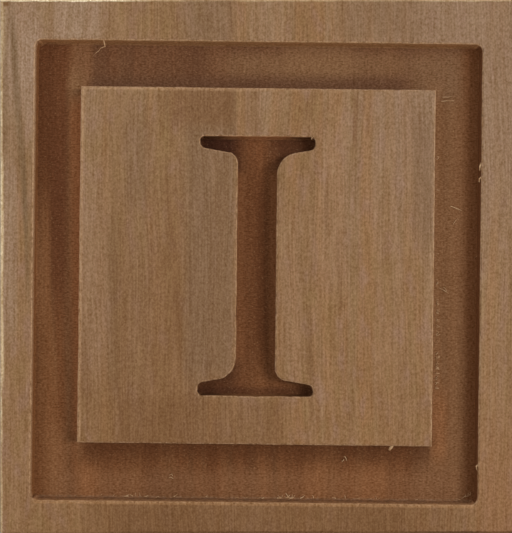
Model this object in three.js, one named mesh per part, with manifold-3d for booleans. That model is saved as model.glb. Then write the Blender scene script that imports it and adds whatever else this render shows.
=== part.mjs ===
// Letter block: a hollow wooden toy block glued up from six boards. The boards meet
// in mitres along all twelve edges, and a loose spline sits across each mitre.
// A routed channel runs round a raised panel on every face, and a capital letter is
// routed into the raised panel of the front and of the back.
// Millimetres, +Z up, origin at the centre of the underside, front towards -Y.

import * as THREE from 'three';
import { ConvexGeometry } from 'three/addons/geometries/ConvexGeometry.js';
import { mergeVertices } from 'three/addons/utils/BufferGeometryUtils.js';
import Module from 'manifold-3d';

const wasm = await Module();
wasm.setup();

// Block
const blockWidth = 49.2;
const blockDepth = 49.2;
const blockHeight = 50.8;
const boardThickness = 9.5;
const arrisEase = 0.3;
const glueLine = 0.15;

// Routing
const routingDepth = 2;
const channelWidth = 4.42;
const cornerRadius = 0.71;
const sideRail = 3.38;
const endRail = 4.13;

// How the front board sat under the router: a little off centre and a little turned
const frontRailLeft = 3.15;
const frontRailRight = 3.61;
const frontRailTop = 4.15;
const frontRailBottom = 3;
const frontLowerChannel = 5.53;
const frontTurn = THREE.MathUtils.degToRad(-0.72);

// Letter
const letterMargin = 4.55;
const stemWidth = 3.72;
const serifSpan = 10.95;
const serifTip = 1.2;
const serifRoot = 1.78;
const tightBracketRun = 0.6;
const tightBracketDrop = 1.1;
const fullBracketRun = 1.5;
const fullBracketDrop = 1.7;

// Splines
const splineWidth = 5;
const splineThickness = 1.6;
const splineFit = 0.15;
const splineEndWall = 2;

// Cutters start this far above the face
const cutterOverrun = 1;

// Steps along each round stretch of an outline
const roundSteps = 8;

// A mitre stands at 45 degrees, so a length across it counts by this share along each face
const diagonal = Math.SQRT1_2;

// The spline grooves lie midway between the floor of the channel and the inside of the
// board, and stop short of the grooves of the other two mitres at each corner
const grooveDepth = splineWidth / 2 + splineFit;
const grooveThickness = splineThickness + 2 * splineFit;
const grooveBack = (grooveThickness / 2) * diagonal;
const grooveReach = grooveDepth * diagonal + grooveBack;
const splineInset = (routingDepth + grooveReach + boardThickness - grooveBack) / 2;
const splineStop = splineInset + grooveReach + splineEndWall;

const boardWood = new THREE.MeshStandardMaterial({ color: 0x8c6c50, roughness: 0.7, metalness: 0 });
const splineWood = new THREE.MeshStandardMaterial({ color: 0xc9a877, roughness: 0.75, metalness: 0 });

function solidOf(geometry) {
  const bare = geometry.clone();
  bare.deleteAttribute('normal');
  bare.deleteAttribute('uv');
  const merged = mergeVertices(bare);
  const mesh = new wasm.Mesh({
    numProp: 3,
    vertProperties: new Float32Array(merged.attributes.position.array),
    triVerts: new Uint32Array(merged.index.array),
  });
  return new wasm.Manifold(mesh);
}

function geometryOf(solid) {
  const mesh = solid.getMesh();
  const geometry = new THREE.BufferGeometry();
  geometry.setAttribute('position', new THREE.BufferAttribute(mesh.vertProperties, 3));
  geometry.setIndex(new THREE.BufferAttribute(mesh.triVerts, 1));
  geometry.computeVertexNormals();
  return geometry;
}

// A board lies with its face in its own XY plane, looking along +Z. Below the sanded
// edge of the face the four mitres run in towards the back of the board.
function boardBlank(width, height) {
  const mitreGap = glueLine * diagonal;
  const levels = [
    { depth: 0, inset: arrisEase },
    { depth: (arrisEase - mitreGap) / 2, inset: (arrisEase + mitreGap) / 2 },
    { depth: boardThickness, inset: boardThickness + mitreGap },
  ];
  const corners = [];
  for (const { depth, inset } of levels) {
    const halfWidth = width / 2 - inset;
    const halfHeight = height / 2 - inset;
    corners.push(new THREE.Vector3(-halfWidth, -halfHeight, -depth));
    corners.push(new THREE.Vector3(halfWidth, -halfHeight, -depth));
    corners.push(new THREE.Vector3(halfWidth, halfHeight, -depth));
    corners.push(new THREE.Vector3(-halfWidth, halfHeight, -depth));
  }
  return new ConvexGeometry(corners);
}

// The place of the raised panel on a face, and the size that the rails and channel leave it
function raisedPanel(width, height, rails) {
  const left = -width / 2 + rails.left + channelWidth;
  const right = width / 2 - rails.right - channelWidth;
  const bottom = -height / 2 + rails.bottom + rails.lowerChannel;
  const top = height / 2 - rails.top - channelWidth;
  return {
    halfWidth: (right - left) / 2,
    halfHeight: (top - bottom) / 2,
    centreX: (left + right) / 2,
    centreY: (bottom + top) / 2,
  };
}

// Drawn about the centre of the raised panel. The cutter leaves round corners on the
// outside of the channel and sharp ones round the panel.
function channelShape(panel, lowerChannel) {
  const right = panel.halfWidth + channelWidth;
  const top = panel.halfHeight + channelWidth;
  const bottom = -panel.halfHeight - lowerChannel;
  const quarter = Math.PI / 2;
  const r = cornerRadius;
  const shape = new THREE.Shape();
  shape.moveTo(-right + r, bottom);
  shape.lineTo(right - r, bottom);
  shape.absarc(right - r, bottom + r, r, -quarter, 0);
  shape.lineTo(right, top - r);
  shape.absarc(right - r, top - r, r, 0, quarter);
  shape.lineTo(-right + r, top);
  shape.absarc(-right + r, top - r, r, quarter, 2 * quarter);
  shape.lineTo(-right, bottom + r);
  shape.absarc(-right + r, bottom + r, r, 2 * quarter, 3 * quarter);
  const island = new THREE.Path();
  island.moveTo(-panel.halfWidth, -panel.halfHeight);
  island.lineTo(-panel.halfWidth, panel.halfHeight);
  island.lineTo(panel.halfWidth, panel.halfHeight);
  island.lineTo(panel.halfWidth, -panel.halfHeight);
  island.closePath();
  shape.holes.push(island);
  return shape;
}

// A capital of one stem and two serifs, drawn about its centre. Each serif ends in the
// round of the cutter, thickens towards the stem and runs into it by a hollow bracket.
// The brackets at the upper right and the lower left are the fuller ones.
function letterShape(panel) {
  const tip = serifTip / 2;
  const tipX = serifSpan / 2 - tip;
  const stemX = stemWidth / 2;
  const edgeY = panel.halfHeight - letterMargin;
  const tipY = edgeY - tip;
  const rootY = edgeY - serifRoot;
  const slope = (serifRoot - serifTip) / (tipX - stemX);
  const tightRun = Math.min(tightBracketRun, tipX - stemX);
  const fullRun = Math.min(fullBracketRun, tipX - stemX);
  const tightX = stemX + tightRun;
  const tightY = rootY + slope * tightRun;
  const fullX = stemX + fullRun;
  const fullY = rootY + slope * fullRun;
  const quarter = Math.PI / 2;
  const shape = new THREE.Shape();
  shape.moveTo(tipX, edgeY);
  shape.absarc(-tipX, tipY, tip, quarter, 3 * quarter);
  shape.lineTo(-tightX, tightY);
  shape.quadraticCurveTo(-stemX, rootY, -stemX, rootY - tightBracketDrop);
  shape.lineTo(-stemX, -rootY + fullBracketDrop);
  shape.quadraticCurveTo(-stemX, -rootY, -fullX, -fullY);
  shape.absarc(-tipX, -tipY, tip, quarter, 3 * quarter);
  shape.absarc(tipX, -tipY, tip, -quarter, quarter);
  shape.lineTo(tightX, -tightY);
  shape.quadraticCurveTo(stemX, -rootY, stemX, -rootY + tightBracketDrop);
  shape.lineTo(stemX, rootY - fullBracketDrop);
  shape.quadraticCurveTo(stemX, rootY, fullX, fullY);
  shape.absarc(tipX, tipY, tip, -quarter, quarter);
  return shape;
}

// A routed outline as the solid that the cutter takes away
function routedSolid(shape, panel, turn) {
  const geometry = new THREE.ExtrudeGeometry(shape, {
    depth: routingDepth + cutterOverrun,
    bevelEnabled: false,
    curveSegments: roundSteps,
  });
  geometry.rotateZ(turn);
  geometry.translate(panel.centreX, panel.centreY, -routingDepth);
  return solidOf(geometry);
}

// The groove on the mitre along one edge of a board, turned to that edge
function grooveSolid(edgeLength, across, turn) {
  const length = edgeLength - 2 * splineStop + 2 * splineFit;
  const geometry = new THREE.BoxGeometry(length, 2 * grooveDepth, grooveThickness);
  geometry.rotateX(Math.PI / 4);
  geometry.translate(0, -across / 2 + splineInset, -splineInset);
  geometry.rotateZ(turn);
  return solidOf(geometry);
}

function boardGeometry(width, height, rails, lettered) {
  const panel = raisedPanel(width, height, rails);
  let solid = solidOf(boardBlank(width, height));
  solid = solid.subtract(routedSolid(channelShape(panel, rails.lowerChannel), panel, rails.turn));
  if (lettered) {
    solid = solid.subtract(routedSolid(letterShape(panel), panel, rails.turn));
  }
  for (const turn of [0, Math.PI]) {
    solid = solid.subtract(grooveSolid(width, height, turn));
  }
  for (const turn of [Math.PI / 2, -Math.PI / 2]) {
    solid = solid.subtract(grooveSolid(height, width, turn));
  }
  return geometryOf(solid);
}

const frontRails = {
  left: frontRailLeft,
  right: frontRailRight,
  top: frontRailTop,
  bottom: frontRailBottom,
  lowerChannel: frontLowerChannel,
  turn: frontTurn,
};
const uprightRails = {
  left: sideRail,
  right: sideRail,
  top: endRail,
  bottom: endRail,
  lowerChannel: channelWidth,
  turn: 0,
};
const endRails = { ...uprightRails, top: sideRail, bottom: sideRail };

// The six faces: which way each looks, which way is up on it, and how it is routed
const upright = new THREE.Vector3(0, 0, 1);
const away = new THREE.Vector3(0, 1, 0);
const faces = {
  front: { out: new THREE.Vector3(0, -1, 0), up: upright, rails: frontRails, lettered: true },
  back: { out: new THREE.Vector3(0, 1, 0), up: upright, rails: uprightRails, lettered: true },
  left: { out: new THREE.Vector3(-1, 0, 0), up: upright, rails: uprightRails, lettered: false },
  right: { out: new THREE.Vector3(1, 0, 0), up: upright, rails: uprightRails, lettered: false },
  top: { out: new THREE.Vector3(0, 0, 1), up: away, rails: endRails, lettered: false },
  bottom: { out: new THREE.Vector3(0, 0, -1), up: away, rails: endRails, lettered: false },
};

const blockSize = new THREE.Vector3(blockWidth, blockDepth, blockHeight);
const letterBlock = new THREE.Group();
letterBlock.name = 'letter_block';
letterBlock.position.z = blockHeight / 2;

function addPiece(name, geometry, material, position, axes) {
  const piece = new THREE.Mesh(geometry, material);
  piece.name = name;
  piece.position.copy(position);
  piece.quaternion.setFromRotationMatrix(new THREE.Matrix4().makeBasis(...axes));
  letterBlock.add(piece);
}

for (const [name, { out, up, rails, lettered }] of Object.entries(faces)) {
  const across = up.clone().cross(out);
  const width = Math.abs(across.dot(blockSize));
  const height = Math.abs(up.dot(blockSize));
  const geometry = boardGeometry(width, height, rails, lettered);
  const position = blockSize.clone().divideScalar(2).multiply(out);
  addPiece(`${name}_panel`, geometry, boardWood, position, [across, up, out]);
}

// A spline is a plain strip that crosses its mitre squarely, half of it in each board
const mitres = [
  ['front', 'left'],
  ['front', 'right'],
  ['back', 'left'],
  ['back', 'right'],
  ['front', 'top'],
  ['front', 'bottom'],
  ['back', 'top'],
  ['back', 'bottom'],
  ['left', 'top'],
  ['left', 'bottom'],
  ['right', 'top'],
  ['right', 'bottom'],
];
for (const [first, second] of mitres) {
  const edge = faces[first].out.clone().add(faces[second].out);
  const across = faces[first].out.clone().sub(faces[second].out).normalize();
  const along = faces[first].out.clone().cross(faces[second].out);
  const length = Math.abs(along.dot(blockSize)) - 2 * splineStop;
  const geometry = new THREE.BoxGeometry(length, splineWidth, splineThickness);
  const position = blockSize.clone().divideScalar(2).subScalar(splineInset).multiply(edge);
  const square = along.clone().cross(across);
  addPiece(`spline_${first}_${second}`, geometry, splineWood, position, [along, across, square]);
}

export default letterBlock;
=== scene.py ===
import math
import random

import bpy
from mathutils import Matrix, Vector, noise


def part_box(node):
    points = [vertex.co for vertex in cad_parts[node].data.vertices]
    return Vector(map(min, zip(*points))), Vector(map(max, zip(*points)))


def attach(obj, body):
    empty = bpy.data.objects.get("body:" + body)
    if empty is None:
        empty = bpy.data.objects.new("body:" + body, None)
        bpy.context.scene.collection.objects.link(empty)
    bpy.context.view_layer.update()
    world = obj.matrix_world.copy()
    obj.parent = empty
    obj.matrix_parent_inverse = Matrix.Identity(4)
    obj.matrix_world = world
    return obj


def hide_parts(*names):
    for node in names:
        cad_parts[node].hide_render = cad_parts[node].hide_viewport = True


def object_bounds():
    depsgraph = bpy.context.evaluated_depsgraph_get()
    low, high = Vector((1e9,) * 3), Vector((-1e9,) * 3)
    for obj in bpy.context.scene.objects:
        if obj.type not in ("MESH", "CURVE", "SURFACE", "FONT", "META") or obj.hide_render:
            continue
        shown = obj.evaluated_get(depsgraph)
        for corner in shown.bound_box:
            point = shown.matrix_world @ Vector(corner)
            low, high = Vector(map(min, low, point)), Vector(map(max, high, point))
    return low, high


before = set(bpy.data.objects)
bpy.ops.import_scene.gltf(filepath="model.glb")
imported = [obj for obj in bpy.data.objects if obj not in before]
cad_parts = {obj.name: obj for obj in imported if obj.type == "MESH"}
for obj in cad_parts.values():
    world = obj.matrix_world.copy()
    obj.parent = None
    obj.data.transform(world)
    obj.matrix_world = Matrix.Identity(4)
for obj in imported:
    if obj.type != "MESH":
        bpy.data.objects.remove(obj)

cad_low, cad_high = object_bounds()

# Front board
# The board with the letter: straight-grained brown wood, sanded but not varnished. Its
# four edges are mitred, and a small cutter has routed the channel and the letter into
# its face. The cutter tore the edges a little and left the routed wood darker.
MM = 0.001
BLOCK = cad_high - cad_low
FACE_Y = cad_low.y
MIDDLE = (cad_low + cad_high) / 2
BOARD_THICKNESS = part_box("front_panel")[1].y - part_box("front_panel")[0].y
ARRIS_RADIUS = 0.3 * MM
GLUE_LINE = 0.04 * MM

ROUTING_DEPTH = 2.0 * MM
CHANNEL_WIDTH = 4.38 * MM
CORNER_RADIUS = 0.71 * MM
EDGE_WEAR = 0.15 * MM
CHANNEL_TEAR = 0.035 * MM
LETTER_TEAR = 0.06 * MM
FLOOR_FILLET = 0.05 * MM
CUTTER_OVERRUN = 0.5 * MM
OUTLINE_STEP = 0.22 * MM
LONGEST_STEP = 1.5 * OUTLINE_STEP
FINE_TEAR_SIZE = 0.35 * MM
BROAD_TEAR_SIZE = 2.5 * MM
BROAD_TEAR_SHARE = 0.4
TEAR_FADE = 0.7
CORNER_STEPS = 8
SMOOTH_ANGLE = math.radians(28)
ARRIS_ANGLES = (15, 30, 45)
BISECT_THRESHOLD = MM / 10000
ALMOST_HALF = 0.49
ALMOST_SQUARE_ON = 0.9999

FRONT_RAILS = {"left": 3.15 * MM, "right": 3.61 * MM, "top": 4.1 * MM, "bottom": 3.0 * MM}
FRONT_LOWER_CHANNEL = 5.49 * MM
FRONT_TURN = math.radians(0.66)

LETTER_MARGIN = 4.59 * MM
STEM_WIDTH = 3.72 * MM
SERIF_SPAN = 10.95 * MM
SERIF_TIP = 1.2 * MM
SERIF_ROOT = 1.78 * MM
SERIF_SHAVING = 0.16 * MM
TIGHT_BRACKET = 0.85 * MM
FULL_BRACKET = 1.6 * MM
BRACKET_STEPS = 10
TIP_ROUNDING = 0.45
SPLINE_WIDTH = 5.0 * MM
SPLINE_THICKNESS = 1.6 * MM
SPLINE_FIT = 0.15 * MM
SPLINE_INSET = (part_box("spline_front_left")[0].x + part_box("spline_front_left")[1].x) / 2 - cad_low.x
SPLINE_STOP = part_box("spline_front_left")[0].z - cad_low.z
noise.seed_set(12)


def pick(piece, kind, test):
    """Edit mode, with only the vertices, edges or faces of the piece that pass the test selected."""
    bpy.ops.object.mode_set(mode="EDIT")
    bpy.ops.mesh.select_mode(type=kind)
    bpy.ops.mesh.select_all(action="DESELECT")
    bpy.ops.object.mode_set(mode="OBJECT")
    mesh = piece.data
    parts = {"VERT": mesh.vertices, "EDGE": mesh.edges, "FACE": mesh.polygons}[kind]
    for part in parts:
        part.select = test(part)
    bpy.ops.object.mode_set(mode="EDIT")


def edge_middle(piece, edge):
    first, second = (piece.data.vertices[i].co for i in edge.vertices)
    return (first + second) / 2


def edge_length(piece, edge):
    first, second = (piece.data.vertices[i].co for i in edge.vertices)
    return (first - second).length


def cut_away(piece, cutter):
    """Takes the cutter's solid out of the piece and removes the cutter."""
    bpy.ops.object.select_all(action="DESELECT")
    piece.select_set(True)
    bpy.context.view_layer.objects.active = piece
    cut = piece.modifiers.new("cut", "BOOLEAN")
    cut.operation = "DIFFERENCE"
    cut.solver = "MANIFOLD"
    cut.object = cutter
    bpy.ops.object.modifier_apply(modifier=cut.name)
    bpy.data.objects.remove(cutter)


def flat_sheet(name, width, height):
    """A flat rectangle about the origin, looking towards -Y."""
    bpy.ops.object.select_all(action="DESELECT")
    bpy.ops.mesh.primitive_plane_add(size=1, rotation=(math.pi / 2, 0, 0))
    sheet = bpy.context.object
    sheet.name = name
    sheet.scale = (width, height, 1)
    bpy.ops.object.transform_apply(location=True, rotation=True, scale=True)
    return sheet


def step_outline(sheet):
    """Divides a flat outline into short steps, so that wear can follow it."""
    pick(sheet, "FACE", lambda face: True)
    bpy.ops.mesh.delete(type="ONLY_FACE")
    bpy.ops.object.mode_set(mode="OBJECT")
    while max(edge_length(sheet, edge) for edge in sheet.data.edges) > LONGEST_STEP:
        pick(sheet, "EDGE", lambda edge: edge_length(sheet, edge) > LONGEST_STEP)
        bpy.ops.mesh.subdivide(number_cuts=1)
        bpy.ops.object.mode_set(mode="OBJECT")
    pick(sheet, "EDGE", lambda edge: True)
    bpy.ops.mesh.edge_face_add()
    bpy.ops.object.mode_set(mode="OBJECT")


def push(distance):
    """Extrudes the selected face by a distance, into the board where it is positive."""
    bpy.ops.mesh.extrude_region_move(TRANSFORM_OT_translate={"value": (0, distance, 0)})


def draw_in(thickness, distance):
    """Insets the selected face and moves it, into the board where the distance is positive."""
    bpy.ops.mesh.inset(thickness=thickness, depth=0, use_even_offset=True)
    bpy.ops.transform.translate(value=(0, distance, 0))


def finish_solid():
    """Turns all faces of the piece in edit mode outwards and leaves edit mode."""
    bpy.ops.mesh.select_all(action="SELECT")
    bpy.ops.mesh.normals_make_consistent(inside=False)
    bpy.ops.object.mode_set(mode="OBJECT")


def pocket_solid(sheet):
    """The sheet's outline as the cutter's path: a worn edge, a plain wall and a tight floor corner."""
    step_outline(sheet)
    pick(sheet, "FACE", lambda face: True)
    bpy.ops.transform.translate(value=(0, -CUTTER_OVERRUN, 0))
    push(CUTTER_OVERRUN)
    draw_in(EDGE_WEAR, EDGE_WEAR)
    push(ROUTING_DEPTH - EDGE_WEAR - FLOOR_FILLET)
    draw_in(FLOOR_FILLET, FLOOR_FILLET)
    finish_solid()


def island_solid(sheet):
    """The raised panel inside the channel, from below the floor up past the face."""
    step_outline(sheet)
    pick(sheet, "FACE", lambda face: True)
    bpy.ops.transform.translate(value=(0, ROUTING_DEPTH + CUTTER_OVERRUN, 0))
    push(-CUTTER_OVERRUN)
    draw_in(FLOOR_FILLET, -FLOOR_FILLET)
    push(-(ROUTING_DEPTH - EDGE_WEAR - FLOOR_FILLET))
    draw_in(EDGE_WEAR, -EDGE_WEAR)
    push(-CUTTER_OVERRUN)
    finish_solid()


def fray(piece, seed, tear):
    """Moves the outline of a cutter about by the tear, most at the face, where fibres break out."""
    shift = Vector((seed * 7.3, seed * 3.1, seed * 5.7))
    for vertex in piece.data.vertices:
        depth = max(0.0, vertex.co.y) / ROUTING_DEPTH
        fine = noise.noise_vector(vertex.co / FINE_TEAR_SIZE + shift)
        broad = noise.noise_vector(vertex.co / BROAD_TEAR_SIZE + shift)
        reach = tear * (fine + BROAD_TEAR_SHARE * broad) * (1 - TEAR_FADE * depth)
        vertex.co.x += reach.x
        vertex.co.z += reach.z


def place(piece, centre, turn):
    """Moves a cutter from the origin to the face of the front board, turned clockwise."""
    matrix = Matrix.Translation(centre) @ Matrix.Rotation(turn, 4, "Y")
    piece.data.transform(matrix)


def channel_cutter(half, lower_channel, seed):
    """The ring between the rails and the raised panel, about the panel's centre."""
    width = 2 * (half.x + CHANNEL_WIDTH + EDGE_WEAR)
    height = 2 * half.y + CHANNEL_WIDTH + lower_channel + 2 * EDGE_WEAR
    ring = flat_sheet("channel_cutter", width, height)
    ring.data.transform(Matrix.Translation((0, 0, (CHANNEL_WIDTH - lower_channel) / 2)))
    pick(ring, "VERT", lambda vertex: True)
    bpy.ops.mesh.bevel(
        affect="VERTICES",
        offset_type="ABSOLUTE",
        offset=CORNER_RADIUS + EDGE_WEAR,
        segments=CORNER_STEPS,
    )
    bpy.ops.object.mode_set(mode="OBJECT")
    pocket_solid(ring)
    fray(ring, seed, CHANNEL_TEAR)
    island = flat_sheet("island", 2 * (half.x + FLOOR_FILLET), 2 * (half.y + FLOOR_FILLET))
    island_solid(island)
    fray(island, seed + 1, CHANNEL_TEAR)
    cut_away(ring, island)
    return ring


def letter_cutter(half, seed):
    """A capital of one stem and two serifs, about the raised panel's centre."""
    edge = half.y - LETTER_MARGIN + EDGE_WEAR
    root = edge - SERIF_ROOT - 2 * EDGE_WEAR
    stem = STEM_WIDTH + 2 * EDGE_WEAR
    span = SERIF_SPAN + 2 * EDGE_WEAR
    tip = SERIF_TIP + 2 * EDGE_WEAR
    arm = (span - stem) / 2
    thinning = SERIF_ROOT - SERIF_TIP
    letter = flat_sheet("letter_cutter", stem, 2 * edge)
    for height in (root, -root):
        pick(letter, "FACE", lambda face: True)
        bpy.ops.mesh.bisect(plane_co=(0, 0, height), plane_no=(0, 0, 1))
        bpy.ops.object.mode_set(mode="OBJECT")
    for side in (-1, 1):
        pick(
            letter,
            "EDGE",
            lambda line: abs(edge_middle(letter, line).z) > root + thinning / 4
            and edge_middle(letter, line).x * side > stem * ALMOST_HALF,
        )
        bpy.ops.mesh.extrude_edges_move(TRANSFORM_OT_translate={"value": (side * arm, 0, 0)})
        bpy.ops.object.mode_set(mode="OBJECT")
    for end in (-1, 1):
        pick(
            letter,
            "VERT",
            lambda vertex: abs(vertex.co.x) > span * ALMOST_HALF
            and abs(vertex.co.z * end - root) < thinning / 4,
        )
        bpy.ops.transform.translate(value=(0, 0, end * thinning))
        bpy.ops.object.mode_set(mode="OBJECT")
        pick(
            letter,
            "VERT",
            lambda vertex: vertex.co.x * end < 0
            and root - thinning / 4 < vertex.co.z * end < root + thinning * 1.25,
        )
        bpy.ops.transform.translate(value=(0, 0, end * SERIF_SHAVING))
        bpy.ops.object.mode_set(mode="OBJECT")
    pick(letter, "FACE", lambda face: True)
    bpy.ops.mesh.dissolve_faces()
    bpy.ops.object.mode_set(mode="OBJECT")
    for size, hand in ((tip - SERIF_SHAVING, -1), (tip, 1)):
        pick(
            letter,
            "VERT",
            lambda vertex: abs(vertex.co.x) > span * ALMOST_HALF
            and vertex.co.x * vertex.co.z * hand > 0,
        )
        bpy.ops.mesh.bevel(
            affect="VERTICES",
            offset_type="ABSOLUTE",
            offset=size * TIP_ROUNDING,
            segments=CORNER_STEPS,
        )
        bpy.ops.object.mode_set(mode="OBJECT")
    for size, hand, base in ((TIGHT_BRACKET, -1, root + SERIF_SHAVING), (FULL_BRACKET, 1, root)):
        pick(
            letter,
            "VERT",
            lambda vertex: abs(abs(vertex.co.x) - stem / 2) < stem * 0.01
            and abs(abs(vertex.co.z) - base) < thinning / 4
            and vertex.co.x * vertex.co.z * hand > 0,
        )
        bpy.ops.mesh.bevel(
            affect="VERTICES", offset_type="ABSOLUTE", offset=size, segments=BRACKET_STEPS
        )
        bpy.ops.object.mode_set(mode="OBJECT")
    pocket_solid(letter)
    fray(letter, seed, LETTER_TEAR)
    return letter


def board_blank(name, width, height):
    """A mitred board in the place of the front one, with its sanded outer edges."""
    bpy.ops.object.select_all(action="DESELECT")
    bpy.ops.mesh.primitive_cube_add(size=1)
    board = bpy.context.object
    board.name = name
    board.scale = (width - GLUE_LINE, BOARD_THICKNESS, height - GLUE_LINE)
    board.location = (0, BOARD_THICKNESS / 2, 0)
    bpy.ops.object.transform_apply(location=True, rotation=True, scale=True)
    pick(board, "FACE", lambda face: face.normal.y > 0.5)
    shrink = 2 * BOARD_THICKNESS
    bpy.ops.transform.resize(
        value=((width - shrink) / width, 1, (height - shrink) / height),
        center_override=(0, BOARD_THICKNESS, 0),
    )
    for side, half in ((Vector((1, 0, 0)), width / 2), (Vector((0, 0, 1)), height / 2)):
        for sign in (-1, 1):
            for angle in ARRIS_ANGLES:
                lean = math.radians(angle)
                normal = sign * math.sin(lean) * side + Vector((0, -math.cos(lean), 0))
                heart = sign * (half - ARRIS_RADIUS) * side + Vector((0, ARRIS_RADIUS, 0))
                bpy.ops.mesh.select_all(action="SELECT")
                bpy.ops.mesh.bisect(
                    plane_co=heart + ARRIS_RADIUS * normal,
                    plane_no=normal,
                    use_fill=True,
                    clear_outer=True,
                    threshold=BISECT_THRESHOLD,
                )
    finish_solid()
    return board


def groove_cutter(width, height, side):
    """The groove for the spline of the left (-1) or right (1) mitre of a board."""
    bpy.ops.object.select_all(action="DESELECT")
    bpy.ops.mesh.primitive_cube_add(size=1)
    groove = bpy.context.object
    run = height - 2 * SPLINE_STOP + 2 * SPLINE_FIT
    groove.scale = (SPLINE_WIDTH + 2 * SPLINE_FIT, SPLINE_THICKNESS + 2 * SPLINE_FIT, run)
    groove.rotation_euler = (0, 0, side * math.pi / 4)
    groove.location = (side * (width / 2 - SPLINE_INSET), SPLINE_INSET, 0)
    bpy.ops.object.transform_apply(location=True, rotation=True, scale=True)
    return groove


def raised_panel(width, height, rails, lower_channel, lean):
    """(centre, half size, lower channel, lean) of the raised panel on a board's face."""
    across = width - rails["left"] - rails["right"] - 2 * CHANNEL_WIDTH
    upright = height - rails["top"] - rails["bottom"] - CHANNEL_WIDTH - lower_channel
    along = (rails["left"] - rails["right"]) / 2
    up = (rails["bottom"] + lower_channel - rails["top"] - CHANNEL_WIDTH) / 2
    return Vector((along, 0, up)), Vector((across / 2, upright / 2)), lower_channel, lean


def routed_board(name, width, height, rails, lower_channel, turn, lettered, seed):
    """A finished board about the middle of its own face, which looks towards -Y."""
    centre, half, _, _ = raised_panel(width, height, rails, lower_channel, turn)
    board = board_blank(name, width, height)
    ring = channel_cutter(half, lower_channel, seed)
    place(ring, centre, turn)
    cut_away(board, ring)
    if lettered:
        letter = letter_cutter(half, seed + 2)
        place(letter, centre, turn)
        cut_away(board, letter)
    for side in (-1, 1):
        cut_away(board, groove_cutter(width, height, side))
        crosswise = groove_cutter(height, width, side)
        crosswise.data.transform(Matrix.Rotation(math.pi / 2, 4, "Y"))
        cut_away(board, crosswise)
    bpy.ops.object.select_all(action="DESELECT")
    board.select_set(True)
    bpy.context.view_layer.objects.active = board
    bpy.ops.object.shade_smooth_by_angle(angle=SMOOTH_ANGLE)
    pick(board, "FACE", lambda face: face.normal.y < -ALMOST_SQUARE_ON)
    bpy.ops.mesh.faces_shade_flat()
    bpy.ops.object.mode_set(mode="OBJECT")
    return board


front = routed_board(
    "front_board", BLOCK.x, BLOCK.z, FRONT_RAILS, FRONT_LOWER_CHANNEL, FRONT_TURN, True, 1
)
front.data.transform(Matrix.Translation((MIDDLE.x, FACE_Y, MIDDLE.z)))
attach(front, "root")
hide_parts("front_panel")


class Wire:
    """A socket in a material. Arithmetic on it adds Math nodes, and node() adds any other."""

    def __init__(self, tree, socket):
        self.tree = tree
        self.socket = socket

    def node(self, kind, settings, inputs, output=0):
        made = self.tree.nodes.new(kind)
        for name, value in settings.items():
            setattr(made, name, value)
        for name, value in inputs.items():
            if isinstance(value, Wire):
                self.tree.links.new(value.socket, made.inputs[name])
            else:
                made.inputs[name].default_value = value
        return Wire(self.tree, made.outputs[output])

    def math(self, operation, first, second=0.0):
        return self.node("ShaderNodeMath", {"operation": operation}, {0: first, 1: second})

    def __add__(self, other):
        return self.math("ADD", self, other)

    __radd__ = __add__

    def __sub__(self, other):
        return self.math("SUBTRACT", self, other)

    def __rsub__(self, other):
        return self.math("SUBTRACT", other, self)

    def __mul__(self, other):
        return self.math("MULTIPLY", self, other)

    __rmul__ = __mul__

    def __abs__(self):
        return self.math("ABSOLUTE", self)

    def least(self, other):
        return self.math("MINIMUM", self, other)

    def most(self, other):
        return self.math("MAXIMUM", self, other)

    def rise(self, low, high):
        """0 below low, 1 above high, with a smooth step between them."""
        return self.node(
            "ShaderNodeMapRange",
            {"interpolation_type": "SMOOTHSTEP", "clamp": False},
            {"Value": self, "From Min": low, "From Max": high},
        )

    def blend(self, first, second):
        """From the first colour to the second as this value goes from 0 to 1."""
        return self.node(
            "ShaderNodeMix", {"data_type": "RGBA"}, {0: self, 6: first, 7: second}, 2
        )

    def mix(self, first, second):
        """From the first value to the second as this one goes from 0 to 1."""
        return self * (second - first) + first

    def light(self, colour):
        """The colour made lighter by this share of it, and a little greyer, as dust does."""
        shares = self.node(
            "ShaderNodeCombineColor", {}, {0: 1 + self, 1: 1 + self * 1.3, 2: 1 + self * 1.8}
        )
        return self.node(
            "ShaderNodeMix",
            {"data_type": "RGBA", "blend_type": "MULTIPLY"},
            {0: 1.0, 6: colour, 7: shares},
            2,
        )


def paint(red, green, blue):
    """A colour from its screen values, 0 to 255, as the light that it stands for."""
    shares = [channel / 255 for channel in (red, green, blue)]
    return (*[s / 12.92 if s <= 0.04045 else ((s + 0.055) / 1.055) ** 2.4 for s in shares], 1.0)


def grain(wire, spot, width, length, detail=2.0, roughness=0.5):
    """Noise drawn out along the grain: width and length of its marks in millimetres."""
    stretched = wire.node(
        "ShaderNodeVectorMath",
        {"operation": "MULTIPLY"},
        {0: spot, 1: (1 / width, 1 / width, 1 / length)},
    )
    return wire.node(
        "ShaderNodeTexNoise",
        {"noise_dimensions": "3D"},
        {"Vector": stretched, "Scale": 1.0, "Detail": detail, "Roughness": roughness},
    )


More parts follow.
